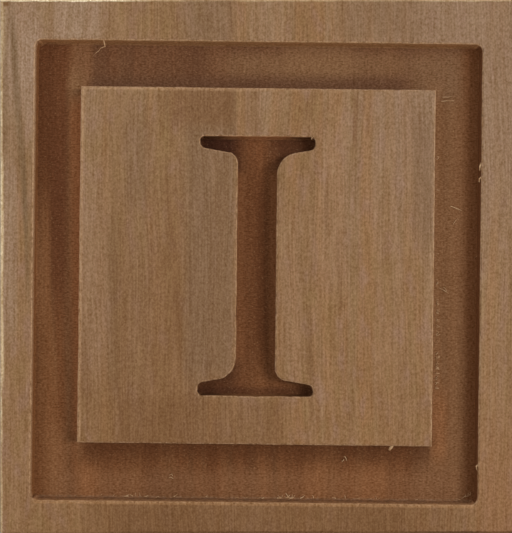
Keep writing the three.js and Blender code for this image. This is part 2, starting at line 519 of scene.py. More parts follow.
SANDED_GREY = paint(145, 114, 85)
SANDED_BROWN = paint(136, 102, 69)
SANDED_ORANGE = paint(146, 105, 66)
SANDED_OLIVE = paint(128, 100, 66)
SANDED_ROSE = paint(146, 112, 92)
SANDED_MOSS = paint(138, 107, 68)
ROUTED_LIGHT = paint(126, 83, 50)
ROUTED_DARK = paint(108, 67, 38)
ROUTED_OLIVE = paint(104, 73, 46)
ROUTED_RED = paint(134, 84, 50)
TOP_WALL_PAINTED_LIGHT = paint(192, 142, 95)
LEFT_WALL_PAINTED_LIGHT = paint(142, 94, 55)
LETTER_WALL_PAINTED_LIGHT = paint(198, 136, 88)
FOOT_WALL_PAINTED_LIGHT = paint(150, 104, 66)
BOTTOM_WALL_PAINTED_LIGHT = paint(190, 141, 98)
BOTTOM_DUST = paint(130, 98, 72)
LOWER_LIP_HIGHLIGHT = paint(180, 135, 92)
WORN_EDGE_AND_HIGHLIGHT = paint(190, 151, 114)
GLINT = paint(190, 152, 110)
WALL_BAND = (0.06, 0.20)
WALL_FOOT = (1.92, 1.99)
DRY_WOOD_SHINE = 0.1


def board_wood(name, turn, shift, seed, panel, streaks=()):
    """Board wood in a board's own frame, in millimetres: X across the grain, Y in from the
    face and Z along the grain. turn and shift carry the block's frame into it. panel is the
    raised panel's (centre, half size, lower channel, lean). Each streak is (routed, left,
    right, low, high, side fade, end fade, strength, colour) and may end with its own slant."""
    material = bpy.data.materials.new(name)
    material.use_nodes = True
    tree = material.node_tree
    shader = tree.nodes["Principled BSDF"]
    places = tree.nodes.new("ShaderNodeTexCoord")
    wire = Wire(tree, places.outputs["Object"])
    spot = wire.node(
        "ShaderNodeMapping",
        {"vector_type": "POINT"},
        {"Vector": wire, "Scale": (1 / MM,) * 3, "Rotation": turn, "Location": shift},
    )
    across = wire.node("ShaderNodeSeparateXYZ", {}, {"Vector": spot}, 0)
    depth = wire.node("ShaderNodeSeparateXYZ", {}, {"Vector": spot}, 1)
    along = wire.node("ShaderNodeSeparateXYZ", {}, {"Vector": spot}, 2)
    sawn = wire.node(
        "ShaderNodeVectorMath",
        {"operation": "ADD"},
        {0: spot, 1: (seed * 61.0, seed * 23.0, seed * 137.0)},
    )
    centre, half, lower_channel, lean = panel
    level = wire.node(
        "ShaderNodeMapping",
        {"vector_type": "TEXTURE"},
        {"Vector": spot, "Location": centre / MM, "Rotation": (0, lean, 0)},
    )
    rightwards = wire.node("ShaderNodeSeparateXYZ", {}, {"Vector": level}, 0)
    sideways = abs(rightwards)
    upwards = wire.node("ShaderNodeSeparateXYZ", {}, {"Vector": level}, 2)
    ring_half = (half.x + CHANNEL_WIDTH) / MM
    from_left = rightwards + ring_half
    from_rim = (half.x / MM - sideways).least(half.y / MM - upwards)
    letter_half = (half.y - LETTER_MARGIN) / MM
    from_letter = abs(letter_half - upwards)
    from_foot = abs(letter_half + upwards)
    from_top = (half.y + CHANNEL_WIDTH) / MM - upwards
    from_bottom = (half.y + lower_channel) / MM + upwards
    corner = CORNER_RADIUS / MM
    bend_across = (corner - from_left).most(0)
    bend_up = (corner - from_top).most(0)
    from_wall = corner - wire.math("SQRT", bend_across * bend_across + bend_up * bend_up)

    drift = grain(wire, sawn, 7.0, 26.0, 1.0) - 0.5
    swerve = wire.node("ShaderNodeCombineXYZ", {}, {0: drift * 2.4})
    bent = wire.node("ShaderNodeVectorMath", {"operation": "ADD"}, {0: sawn, 1: swerve})
    broad = grain(wire, bent, 6.0, 120.0, 1.0)
    warm = grain(wire, bent, 1.5, 50.0, 2.0, 0.5)
    dull = grain(wire, bent, 1.0, 30.0, 2.0, 0.5)
    blotch = grain(wire, bent, 1.1, 3.0, 1.0)
    fibres = grain(wire, bent, 0.16, 4.5, 1.0)
    specks = grain(wire, sawn, 0.17, 0.21, 1.0)
    scuffs = grain(wire, sawn, 0.24, 0.14, 1.0)
    glints = grain(wire, sawn, 0.16, 0.16, 0.0).rise(0.70, 0.82)
    routed = depth.rise(0.05, 0.30)

    sanded = broad.rise(0.36, 0.64).blend(SANDED_BROWN, SANDED_GREY)
    sanded = (warm.rise(0.46, 0.70) * 0.6).blend(sanded, SANDED_ORANGE)
    sanded = (dull.rise(0.50, 0.70) * 0.4).blend(sanded, SANDED_OLIVE)
    sanded = (along.rise(16.0, -26.0) * 0.4).blend(sanded, SANDED_ORANGE)
    sanded = (blotch.rise(0.50, 0.75) * 0.45).blend(sanded, SANDED_ROSE)
    sanded = (blotch.rise(0.50, 0.25) * 0.45).blend(sanded, SANDED_MOSS)
    cut = warm.rise(0.25, 0.75).blend(ROUTED_DARK, ROUTED_LIGHT)
    cut = (dull.rise(0.50, 0.68) * 0.35).blend(cut, ROUTED_OLIVE)
    cut = (dull.rise(0.50, 0.32) * 0.35).blend(cut, ROUTED_RED)
    waver = across + drift * 0.9 + (dull - 0.5) * 0.5
    reach = along + (dull - 0.5) * 0.2
    for is_routed, left, right, low, high, side_fade, end_fade, strength, tone, *slant in streaks:
        line = waver - along * slant[0] if slant else waver
        mask = line.rise(left - side_fade, left + side_fade)
        mask = mask * (1 - line.rise(right - side_fade, right + side_fade))
        mask = mask * reach.rise(low - end_fade, low + end_fade)
        mask = mask * (1 - reach.rise(high - end_fade, high + end_fade)) * strength
        if is_routed:
            cut = mask.blend(cut, tone)
        else:
            sanded = mask.blend(sanded, tone)
    ragged = grain(wire, sawn, 0.3, 0.5, 1.0).rise(0.30, 0.55)
    # Wear and painted highlight: the chamfers round the routed edges are painted pale, but not on the
    # lower rail or the bottom arris.
    worn = depth.rise(0.004, 0.03) * (1 - depth.rise(0.11, 0.18)) * from_bottom.rise(-0.6, -0.3)
    sanded = (worn * ragged * 0.6).blend(sanded, WORN_EDGE_AND_HIGHLIGHT)
    # Painted highlight and wear: a pale band along the raised panel's edges, stronger on the left and
    # fading out at its bottom edge.
    rim = from_rim.rise(-0.4, -0.2) * (1 - from_rim.rise(0.10, 0.45))
    rim = rim * rightwards.rise(12.0, -12.0).mix(0.25, 1.0)
    rim = rim * upwards.rise(-half.y / MM - 0.4, -half.y / MM)
    sanded = (rim * ragged.mix(0.25, 0.6)).blend(sanded, WORN_EDGE_AND_HIGHLIGHT)
    crumbs = grain(wire, sawn, 0.5, 0.22, 2.0, 0.7).rise(0.38, 0.58)
    wall = 1 - depth.rise(*WALL_FOOT)
    corner_wall = 1 - from_wall.rise(*WALL_BAND)
    top_share = (from_left - from_top).rise(-0.3, 0.3)
    # Painted light: the wall under the top rail, which faces down and gets little lamp light, is
    # painted lighter.
    cut = (wall.mix(0.3, 1.0) * corner_wall * top_share).blend(cut, TOP_WALL_PAINTED_LIGHT)
    left_wall = corner_wall * (1 - top_share)
    # Painted light: the channel's left wall is painted lighter than the floor.
    cut = (wall * left_wall).blend(cut, LEFT_WALL_PAINTED_LIGHT)
    # Painted highlight: the upper part of the left wall, next to the face, is painted pale.
    cut = ((1 - depth.rise(0.3, 1.3)) * left_wall * 0.7).blend(cut, WORN_EDGE_AND_HIGHLIGHT)
    # Painted light: the letter's top wall is painted lighter, less so towards the serif tips, which
    # stay dark.
    in_letter = sideways.rise(6.0, 5.6) * sideways.rise(4.2, 2.4).mix(0.45, 1.0)
    stem_top = (1 - from_letter.rise(*WALL_BAND)) * in_letter
    cut = (wall.mix(0.3, 1.0) * stem_top).blend(cut, LETTER_WALL_PAINTED_LIGHT)
    # Painted light: the letter's lower wall is painted lighter.
    cut = (wall * (1 - from_foot.rise(*WALL_BAND)) * in_letter).blend(cut, FOOT_WALL_PAINTED_LIGHT)
    # Painted light: the channel's lower wall, which faces up and gets no light from above, is painted
    # lighter, unevenly.
    ledge = 1 - from_bottom.rise(0.08, 0.22)
    cut = (wall * ledge * blotch.rise(0.3, 0.6).mix(0.7, 1.0)).blend(cut, BOTTOM_WALL_PAINTED_LIGHT)
    cut = (ledge * depth.rise(0.4, 1.2) * crumbs.mix(0.2, 0.7)).blend(cut, BOTTOM_DUST)
    # Painted highlight: a pale line on the face along the channel's lower edge, as if lit from above.
    lip = from_bottom.rise(-0.36, -0.20) * (1 - from_bottom.rise(0.0, 0.1))
    lip = lip * (1 - sideways.rise(ring_half - 0.6, ring_half))
    sanded = (lip * ragged.mix(0.26, 0.46)).blend(sanded, LOWER_LIP_HIGHLIGHT)
    colour = routed.blend(sanded, cut)
    grit = routed.mix((specks - 0.5) * 0.85, (scuffs - 0.5) * 1.25)
    flicker = (fibres - 0.5) * routed.mix(0.6, 0.3) + grit
    colour = flicker.light(colour)
    colour = (glints * 0.16).blend(colour, GLINT)
    tree.links.new(colour.socket, shader.inputs["Base Color"])
    rough = 0.66 + routed * 0.16 + (fibres - 0.5) * 0.2
    tree.links.new(rough.socket, shader.inputs["Roughness"])
    relief = (fibres - 0.5) * 0.02 + grit * 0.02
    bump = wire.node(
        "ShaderNodeBump", {}, {"Height": relief, "Strength": 0.6, "Distance": MM}
    )
    tree.links.new(bump.socket, shader.inputs["Normal"])
    shader.inputs["Specular IOR Level"].default_value = DRY_WOOD_SHINE
    return material


OLIVE_LINE = paint(118, 92, 64)
BROWN_LINE = paint(116, 80, 48)
LEFT_GREY = paint(156, 128, 104)
RIGHT_GREY = paint(142, 113, 89)
GREY_BAND = paint(124, 94, 67)
PINK_BAND = paint(150, 118, 91)
PALE_FLAME = paint(124, 85, 55)
RED_FLAME_AND_PAINTED_LIGHT = paint(158, 102, 63)
PAINTED_LIGHT_TAN = paint(150, 106, 70)
LOWER_FLOOR_PAINTED_LIGHT = paint(128, 88, 58)
TOP_OLIVE = paint(134, 99, 67)
GREY_FLOOR = paint(116, 88, 64)
LIGHT_FLOOR = paint(142, 102, 68)
ORANGE_FLOOR = paint(142, 93, 57)
RED_PAINTED_SHADE = paint(118, 71, 39)
ORANGE_END = paint(142, 98, 63)
DARK_FLAME_AND_PAINTED_SHADE = paint(90, 52, 29)
DUSKY_AND_PAINTED_SHADE = paint(96, 65, 45)
OLIVE_FLOOR = paint(124, 89, 60)
PAINTED_SHADE = paint(80, 44, 21)
LETTER_BROWN = paint(108, 66, 38)
LETTER_PAINTED_LIGHT = paint(132, 86, 53)
CHIPPED = paint(112, 76, 42)
DEEP_PAINTED_SHADE = paint(66, 36, 21)
DEEPER_BROWN = paint(122, 86, 54)
SAPWOOD_AND_ARRIS_HIGHLIGHT = paint(206, 178, 138)
PAINTED_ARRIS_HIGHLIGHT = paint(242, 222, 186)
FRONT_STREAKS = (
    (False, -24.3, -20.8, 14.0, 26.0, 0.8, 5.0, 0.75, LEFT_GREY),
    (False, 12.0, 30.0, 6.0, 30.0, 4.0, 8.0, 0.6, RIGHT_GREY),
    (False, -24.3, -23.0, -7.0, 10.0, 0.3, 3.0, 0.55, LEFT_GREY),
    (False, -19.4, -15.2, 21.2, 30.0, 0.4, 1.0, 0.55, LEFT_GREY),
    (False, -22.2, -21.6, 3.0, 24.0, 0.25, 3.0, 0.75, OLIVE_LINE, -0.064),
    (False, -22.15, -21.85, -3.0, 12.0, 0.15, 3.0, 0.5, OLIVE_LINE, -0.03),
    (False, -3.05, -2.7, 19.0, 30.0, 0.15, 1.0, 0.6, BROWN_LINE),
    (False, -8.25, -7.85, -9.0, 9.0, 0.2, 2.0, 0.55, BROWN_LINE, -0.073),
    (False, -6.4, -6.1, -16.5, -8.0, 0.12, 1.0, 0.6, BROWN_LINE),
    (False, -2.9, -2.3, 12.8, 17.0, 0.25, 1.0, 0.5, OLIVE_LINE),
    (False, 6.2, 6.6, 3.2, 7.6, 0.15, 1.2, 0.5, BROWN_LINE),
    (False, 7.4, 7.75, -4.5, 3.2, 0.15, 1.2, 0.5, BROWN_LINE, -0.05),
    (False, 8.9, 9.4, 11.0, 16.5, 0.15, 1.2, 0.6, BROWN_LINE),
    (False, 4.8, 5.2, -15.0, -4.0, 0.15, 1.2, 0.4, BROWN_LINE),
    (False, -13.3, -12.5, -17.0, -13.0, 0.3, 0.8, 0.5, BROWN_LINE),
    (False, -14.4, -13.2, -12.0, 4.5, 0.4, 3.0, 0.4, OLIVE_LINE),
    (False, -26.0, -23.75, 8.0, 30.0, 0.25, 6.0, 0.35, OLIVE_LINE),
    # Pale sapwood along the left edge, partly a painted highlight on the left arris.
    (False, -26.0, -24.45, -30.0, -16.5, 0.12, 1.5, 0.8, SAPWOOD_AND_ARRIS_HIGHLIGHT),
    (False, -26.0, -24.33, -16.5, -11.0, 0.12, 1.5, 0.9, SAPWOOD_AND_ARRIS_HIGHLIGHT),
    (False, -26.0, -24.14, -11.0, 10.0, 0.12, 1.5, 0.9, SAPWOOD_AND_ARRIS_HIGHLIGHT),
    (False, -26.0, -24.32, 10.0, 20.0, 0.12, 1.5, 0.9, SAPWOOD_AND_ARRIS_HIGHLIGHT),
    (False, -26.0, -24.15, 20.0, 30.0, 0.35, 1.5, 0.65, SAPWOOD_AND_ARRIS_HIGHLIGHT),
    # Painted highlight along the left arris.
    (False, -26.0, -24.44, 10.0, 30.0, 0.06, 2.0, 0.8, PAINTED_ARRIS_HIGHLIGHT),
    (False, -26.0, -24.34, -14.0, 10.0, 0.06, 2.0, 0.8, PAINTED_ARRIS_HIGHLIGHT),
    # Painted highlight: the top arris is painted pale across the whole width.
    (False, -26.0, 30.0, 25.12, 30.0, 3.0, 0.06, 0.5, SAPWOOD_AND_ARRIS_HIGHLIGHT),
    # Painted highlight on the top arris at the top left.
    (False, -26.0, -12.0, 25.12, 30.0, 3.0, 0.06, 1.0, PAINTED_ARRIS_HIGHLIGHT),
    (False, -24.25, -23.75, 24.65, 25.05, 0.12, 0.1, 0.8, CHIPPED),
    # Painted shade on the bottom arris, which faces the floor.
    (False, -13.0, 30.0, -30.0, -25.1, 3.0, 0.05, 0.9, DEEP_PAINTED_SHADE),
    (False, -16.0, -4.0, -30.0, 4.0, 4.0, 8.0, 0.5, DEEPER_BROWN),
    (False, -7.0, -2.2, -11.0, 17.0, 0.6, 2.0, 0.75, GREY_BAND),
    (False, -7.0, -2.2, 20.8, 30.0, 0.6, 1.0, 0.6, GREY_BAND),
    (False, -12.6, -10.0, 6.0, 14.0, 0.5, 2.0, 0.5, GREY_BAND),
    (False, 14.7, 16.6, 2.0, 14.0, 0.4, 2.0, 0.6, GREY_BAND),
    (False, 7.2, 15.4, 21.3, 30.0, 0.6, 1.0, 0.45, GREY_BAND),
    (False, -1.4, 0.2, 12.4, 18.0, 0.4, 0.8, 0.45, DEEPER_BROWN),
    (False, -8.2, -2.3, 13.3, 18.0, 0.5, 0.8, 0.65, DEEPER_BROWN),
    (False, -13.0, 2.4, -18.0, -12.4, 0.8, 0.8, 0.55, DEEPER_BROWN),
    (False, -17.2, -15.9, -13.0, -5.0, 0.3, 2.0, 0.6, DEEPER_BROWN),
    (False, 5.8, 8.6, -2.0, 14.0, 0.6, 3.0, 0.35, PINK_BAND),
    (False, -16.9, -14.0, -10.0, 8.0, 0.5, 4.0, 0.35, PINK_BAND),
    (False, 2.4, 4.2, -12.0, 6.0, 0.5, 3.0, 0.35, PINK_BAND),
    # Darker along the bottom middle of the face.
    (False, -15.0, 14.0, -30.0, -20.5, 3.0, 1.5, 0.7, DEEPER_BROWN),
    (False, 8.0, 20.0, -30.0, -21.0, 3.0, 1.5, 0.5, DEEPER_BROWN),
    (False, 12.6, 13.2, -30.0, -21.0, 0.2, 1.0, 0.5, BROWN_LINE),
    (False, 21.0, 24.4, -30.0, -16.0, 1.2, 6.0, 0.5, ORANGE_END),
    (True, -17.6, 15.0, 16.0, 30.0, 0.6, 0.6, 0.6, DUSKY_AND_PAINTED_SHADE),
    (True, 15.0, 30.0, -30.0, 30.0, 0.8, 2.0, 0.6, OLIVE_FLOOR),
    (True, -3.5, 14.5, 18.2, 20.6, 2.0, 0.9, 0.5, TOP_OLIVE),
    (True, 2.5, 9.0, 17.8, 22.0, 1.5, 0.9, 0.35, TOP_OLIVE),
    (True, 14.0, 20.0, 20.3, 30.0, 1.2, 0.7, 0.5, DUSKY_AND_PAINTED_SHADE),
    (True, 14.5, 19.5, 16.0, 20.3, 1.0, 0.8, 0.4, GREY_FLOOR),
    # Dark wood and painted shade over the upper left channel, by its left and top walls.
    (True, -21.6, -17.9, 4.0, 30.0, 0.6, 8.0, 0.75, DARK_FLAME_AND_PAINTED_SHADE),
    (True, -18.2, -16.0, 8.0, 24.0, 0.6, 3.0, 0.7, PALE_FLAME),
    (True, -18.6, -16.0, -17.0, 10.0, 0.6, 3.0, 0.7, PALE_FLAME),
    # Paler red wood beside the raised panel's left edge, painted light enough to cancel the panel's
    # cast shadow.
    (True, -17.9, -16.0, -16.2, 16.8, 0.5, 0.8, 0.8, RED_FLAME_AND_PAINTED_LIGHT),
    # Painted light on the lower part of the bottom channel, as if lit from above.
    (True, -20.0, 20.5, -23.5, -19.8, 1.0, 0.8, 0.5, LOWER_FLOOR_PAINTED_LIGHT),
    (True, -17.4, -15.4, -23.5, -18.9, 0.6, 0.6, 0.5, ORANGE_FLOOR),
    (True, -10.5, -6.8, -23.5, -19.4, 1.0, 0.8, 0.25, DUSKY_AND_PAINTED_SHADE),
    # More painted light on the bottom channel's lower part, in the middle.
    (True, -3.0, 0.0, -23.5, -19.4, 1.0, 0.8, 0.4, LOWER_FLOOR_PAINTED_LIGHT),
    (True, 4.2, 6.4, -23.5, -18.8, 0.6, 0.6, 0.4, ORANGE_FLOOR),
    (True, 7.4, 9.6, -23.5, -18.8, 0.6, 0.6, 0.3, ORANGE_FLOOR),
    (True, 9.6, 12.4, -23.5, -18.8, 0.6, 0.6, 0.5, ORANGE_FLOOR),
    (True, -20.6, -18.4, -23.0, -15.5, 0.6, 1.5, 0.25, LIGHT_FLOOR),
    # Painted light on the floor beside the raised panel's right edge, against the shadow the panel
    # casts there.
    (True, 16.2, 17.6, -17.5, 17.0, 0.5, 1.5, 0.4, PAINTED_LIGHT_TAN),
    (True, 16.4, 18.0, -18.5, -12.0, 0.5, 2.0, 0.75, ORANGE_FLOOR),
    # Painted shade, reddish, in the right channel along its outer wall, where the shadow falls.
    (True, 19.8, 30.0, -30.0, 30.0, 0.6, 2.0, 0.6, RED_PAINTED_SHADE),
    # Painted light on the left channel's floor by its outer wall, against the shadow cast there.
    (True, -23.0, -20.2, -4.0, 6.0, 0.5, 4.0, 0.3, PAINTED_LIGHT_TAN),
    (True, -20.0, -18.4, -4.0, 12.0, 0.5, 5.0, 0.8, DARK_FLAME_AND_PAINTED_SHADE),
    # Painted shade on the floor along the raised panel's top edge.
    (True, -16.3, 14.0, 16.0, 18.2, 0.8, 0.7, 0.6, DUSKY_AND_PAINTED_SHADE),
    # Painted light over the shadow in the channel at the raised panel's top-left corner.
    (True, -18.3, -16.9, 15.8, 18.8, 0.6, 1.2, 0.5, TOP_OLIVE),
    # Painted shadow on the floor under the raised panel.
    (True, -17.0, 16.5, -18.7, -16.0, 0.6, 2.0, 0.8, PAINTED_SHADE),
    (True, -5.6, 5.6, -14.0, 14.0, 0.5, 1.0, 0.5, LETTER_BROWN),
    # Painted light on the left part of the stem's floor.
    (True, -2.6, -1.2, -11.0, 11.0, 0.5, 1.0, 0.6, LETTER_PAINTED_LIGHT),
    # Painted shade on the stem's floor, right of its middle.
    (True, -0.3, 1.2, -9.0, 9.0, 0.5, 3.0, 0.65, PAINTED_SHADE),
    # Painted light on the right part of the stem's floor, against the shadow of its right wall.
    (True, 1.3, 2.4, -11.0, 11.0, 0.3, 1.0, 0.6, LETTER_PAINTED_LIGHT),
    # Painted shade in the letter: along its foot and in the narrow serif tips.
    (True, -6.0, 6.0, -14.0, -11.7, 0.5, 0.3, 0.45, DEEP_PAINTED_SHADE),
    (True, -6.0, -1.8, 9.0, 14.0, 1.2, 0.5, 1.0, DEEP_PAINTED_SHADE),
    (True, -6.0, -1.8, -14.0, -9.0, 1.2, 0.5, 0.6, DEEP_PAINTED_SHADE),
    (True, 1.4, 6.0, 9.0, 14.0, 1.2, 0.5, 0.7, DEEP_PAINTED_SHADE),
    (True, 1.4, 6.0, -14.0, -9.0, 1.2, 0.5, 0.2, DEEP_PAINTED_SHADE),
)
front_wood = board_wood(
    "front_wood",
    (0, 0, 0),
    (0, -FACE_Y / MM, -MIDDLE.z / MM),
    1,
    raised_panel(BLOCK.x, BLOCK.z, FRONT_RAILS, FRONT_LOWER_CHANNEL, FRONT_TURN),
    FRONT_STREAKS,
)
front.data.materials.clear()
front.data.materials.append(front_wood)

# Back board
# The same board behind, with the same letter, so that the block reads from both sides.
# Its routing stands straight, because only the front one was seen to lean.
SIDE_RAIL = 3.38 * MM
CROSS_RAIL = 4.13 * MM
BACK_RAILS = {"left": SIDE_RAIL, "right": SIDE_RAIL, "top": CROSS_RAIL, "bottom": CROSS_RAIL}
back = routed_board("back_board", BLOCK.x, BLOCK.z, BACK_RAILS, CHANNEL_WIDTH, 0, True, 11)
back.data.transform(
    Matrix.Translation((MIDDLE.x, cad_high.y, MIDDLE.z)) @ Matrix.Rotation(math.pi, 4, "Z")
)
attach(back, "root")
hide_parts("back_panel")
back_wood = board_wood(
    "back_wood",
    (0, 0, math.pi),
    (0, cad_high.y / MM, -MIDDLE.z / MM),
    2,
    raised_panel(BLOCK.x, BLOCK.z, BACK_RAILS, CHANNEL_WIDTH, 0),
)
back.data.materials.clear()
back.data.materials.append(back_wood)

# Side boards
# Left and right, with their grain upright like the front. The channel runs round a bare
# raised panel on each.
left = routed_board("left_board", BLOCK.y, BLOCK.z, BACK_RAILS, CHANNEL_WIDTH, 0, False, 21)
right = left.copy()
right.data = left.data.copy()
right.name = "right_board"
bpy.context.scene.collection.objects.link(right)
SIDES = ((left, "left_panel", cad_low.x, -1, 3), (right, "right_panel", cad_high.x, 1, 4))
for board, node, outer, hand, seed in SIDES:
    quarter = Matrix.Rotation(hand * math.pi / 2, 4, "Z")
    board.data.transform(Matrix.Translation((outer, MIDDLE.y, MIDDLE.z)) @ quarter)
    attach(board, "root")
    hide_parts(node)
    side_wood = board_wood(
        board.name.replace("board", "wood"),
        (0, 0, -hand * math.pi / 2),
        (0, hand * outer / MM, -MIDDLE.z / MM),
        seed,
        raised_panel(BLOCK.y, BLOCK.z, BACK_RAILS, CHANNEL_WIDTH, 0),
    )
    board.data.materials.clear()
    board.data.materials.append(side_wood)

# End boards
# Top and bottom, whose grain runs from front to back, so that it carries on from the
# upright grain over the edges. The channel runs round a bare raised panel on each.
END_RAILS = {"left": SIDE_RAIL, "right": SIDE_RAIL, "top": SIDE_RAIL, "bottom": SIDE_RAIL}
top = routed_board("top_board", BLOCK.x, BLOCK.y, END_RAILS, CHANNEL_WIDTH, 0, False, 31)
bottom = top.copy()
bottom.data = top.data.copy()
bottom.name = "bottom_board"
bpy.context.scene.collection.objects.link(bottom)
ENDS = ((top, "top_panel", cad_high.z, 1, 5), (bottom, "bottom_panel", cad_low.z, -1, 6))
for board, node, outer, hand, seed in ENDS:
    quarter = Matrix.Rotation(-hand * math.pi / 2, 4, "X")
    board.data.transform(Matrix.Translation((MIDDLE.x, MIDDLE.y, outer)) @ quarter)
    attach(board, "root")
    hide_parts(node)
    end_wood = board_wood(
        board.name.replace("board", "wood"),
        (hand * math.pi / 2, 0, 0),
        (0, hand * outer / MM, 0),
        seed,
        raised_panel(BLOCK.x, BLOCK.y, END_RAILS, CHANNEL_WIDTH, 0),
    )
    board.data.materials.clear()
    board.data.materials.append(end_wood)

# Splines
# Twelve loose strips of pale wood, glued into grooves across the mitres. They are hidden
# once the block is closed, so the solids stay as they are and get a sawn finish.
SPLINE_PALE = paint(206, 172, 122)
SPLINE_DARK = paint(188, 150, 100)


def spline_wood(name, turn, seed):
    """Sawn pale wood, with its grain along the strip."""
    material = bpy.data.materials.new(name)
    material.use_nodes = True
    tree = material.node_tree
    shader = tree.nodes["Principled BSDF"]
    places = tree.nodes.new("ShaderNodeTexCoord")
    wire = Wire(tree, places.outputs["Object"])
    spot = wire.node(
        "ShaderNodeMapping",
        {"vector_type": "POINT"},
        {"Vector": wire, "Scale": (1 / MM,) * 3, "Rotation": turn, "Location": (seed * 31.0,) * 3},
    )
    streaks = grain(wire, spot, 0.6, 30.0, 3.0)
    saw = grain(wire, spot, 2.0, 0.15, 1.0)
    colour = streaks.rise(0.3, 0.7).blend(SPLINE_DARK, SPLINE_PALE)
    colour = ((saw - 0.5) * 0.3).light(colour)
    tree.links.new(colour.socket, shader.inputs["Base Color"])
    rough = 0.7 + (saw - 0.5) * 0.2
    tree.links.new(rough.socket, shader.inputs["Roughness"])
    bump = wire.node(
        "ShaderNodeBump", {}, {"Height": saw * 0.02 + streaks * 0.02, "Distance": MM}
    )
    tree.links.new(bump.socket, shader.inputs["Normal"])
    return material


UPRIGHT = ("front_left", "front_right", "back_left", "back_right")
CROSSWISE = ("front_top", "front_bottom", "back_top", "back_bottom")
LENGTHWISE = ("left_top", "left_bottom", "right_top", "right_bottom")
SPLINE_RUNS = (
    (UPRIGHT, "upright", (0, 0, 0), 1),
    (CROSSWISE, "crosswise", (0, -math.pi / 2, 0), 2),
    (LENGTHWISE, "lengthwise", (math.pi / 2, 0, 0), 3),
)
for mitres, run, turn, seed in SPLINE_RUNS:
    finish = spline_wood("spline_" + run, turn, seed)
    for mitre in mitres:
        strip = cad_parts["spline_" + mitre]
        strip.data.materials.clear()
        strip.data.materials.append(finish)

# Torn fibres and crumbs
# Splinters that the cutter tore up and left on the edges of the front board, and hairs
# and crumbs on its channel floor, along the lower wall and beside the raised panel. All
# are pale wood.
FIBRE_WIDTH = 0.085 * MM
FIBRE_SIDES = 5
FIBRE_TAPER = 0.75
FIBRE_LIGHT = paint(206, 172, 132)
FIBRE_DARK = paint(168, 128, 90)
random.seed(7)


def fibre(width, *path):
    """A torn fibre along a path of (across, depth, along) points in millimetres from the
    middle of the front face. It thins towards its far end."""
    spots = [Vector(spot) * MM for spot in path]
    heading = (spots[-1] - spots[0]).to_track_quat("Z", "Y").to_euler()
    bpy.ops.object.select_all(action="DESELECT")
    bpy.ops.mesh.primitive_circle_add(
        vertices=FIBRE_SIDES,
        radius=width / 2,
        fill_type="NGON",
        location=spots[0],
        rotation=heading,
    )
    strand = bpy.context.object
    bpy.ops.object.transform_apply(location=True, rotation=True, scale=True)
    pick(strand, "FACE", lambda face: True)
    for last, spot in zip(spots, spots[1:]):
        bpy.ops.mesh.extrude_region_move(TRANSFORM_OT_translate={"value": spot - last})
        bpy.ops.transform.resize(value=(FIBRE_TAPER,) * 3, center_override=spot)
    finish_solid()
    return strand


def scatter(model, count, first, last, headings, sizes):
    """Copies of a fibre, strewn between two points and turned and scaled at random."""
    copies = []
    for _ in range(count):
        share = random.random()
        turn = Matrix.Rotation(-math.radians(random.uniform(*headings)), 4, "Y")
        size = Matrix.Scale(random.uniform(*sizes), 4)
        spot = Vector(first).lerp(Vector(last), share) * MM
        strand = model.copy()
        strand.data = model.data.copy()
        strand.data.transform(Matrix.Translation(spot) @ turn @ size)
        bpy.context.scene.collection.objects.link(strand)
        copies.append(strand)
    return copies


strands = [
    fibre(
        FIBRE_WIDTH * 1.6,
        (-14.75, 0.3, 21.5),
        (-14.65, 0.6, 20.95),
        (-15.1, 0.95, 20.85),
        (-15.35, 1.3, 20.65),
        (-15.95, 1.97, 20.35),
    ),
    fibre(FIBRE_WIDTH, (17.6, 1.97, 15.9), (18.2, 1.9, 15.95), (18.8, 1.96, 15.95)),
    fibre(FIBRE_WIDTH * 0.7, (17.7, 1.97, 16.3), (18.2, 1.93, 16.3), (18.6, 1.97, 16.35)),
    fibre(FIBRE_WIDTH, (18.5, 1.97, 5.8), (19.0, 1.9, 5.6), (19.6, 1.97, 5.35)),
    fibre(FIBRE_WIDTH * 0.7, (18.7, 1.97, 4.0), (18.9, 1.92, 4.3), (19.15, 1.97, 4.6)),
    fibre(FIBRE_WIDTH * 0.9, (20.8, 1.97, 0.8), (21.0, 1.7, 1.0), (21.3, 1.4, 0.6), (21.5, 1.2, 0.2)),
    fibre(FIBRE_WIDTH * 0.9, (17.4, 1.97, -2.1), (17.8, 1.88, -2.3), (18.3, 1.97, -2.6)),
    fibre(FIBRE_WIDTH * 0.7, (17.8, 1.97, -2.0), (18.0, 1.9, -2.2), (18.1, 1.97, -2.4)),
    fibre(FIBRE_WIDTH * 2.4, (21.2, 0.3, 9.9), (21.0, 0.25, 9.5), (21.0, 0.35, 9.1)),
    fibre(FIBRE_WIDTH * 2.6, (21.2, 0.3, 8.5), (20.95, 0.3, 8.3), (20.95, 0.4, 8.0)),
    fibre(FIBRE_WIDTH * 2.4, (20.9, 0.3, -18.8), (20.65, 0.25, -19.0), (20.75, 0.4, -19.4)),
    fibre(FIBRE_WIDTH * 4.5, (12.75, 0.5, -16.85), (12.6, 0.4, -17.2), (12.4, 0.45, -17.5)),
    fibre(FIBRE_WIDTH * 1.4, (5.1, 0.3, 12.5), (5.05, 0.2, 12.2), (5.0, 0.3, 12.05)),
    fibre(FIBRE_WIDTH * 1.2, (8.25, 1.97, -18.3), (8.4, 1.85, -18.5), (8.45, 1.97, -18.75)),
    fibre(FIBRE_WIDTH * 1.2, (8.0, 1.97, -18.8), (8.15, 1.85, -18.7), (8.2, 1.97, -18.6)),
    fibre(FIBRE_WIDTH * 1.2, (-8.6, 1.97, -20.1), (-8.4, 1.85, -20.0), (-8.3, 1.97, -20.2)),
    fibre(FIBRE_WIDTH * 1.2, (-8.7, 1.97, -20.4), (-8.5, 1.85, -20.3), (-8.25, 1.97, -20.45)),
]
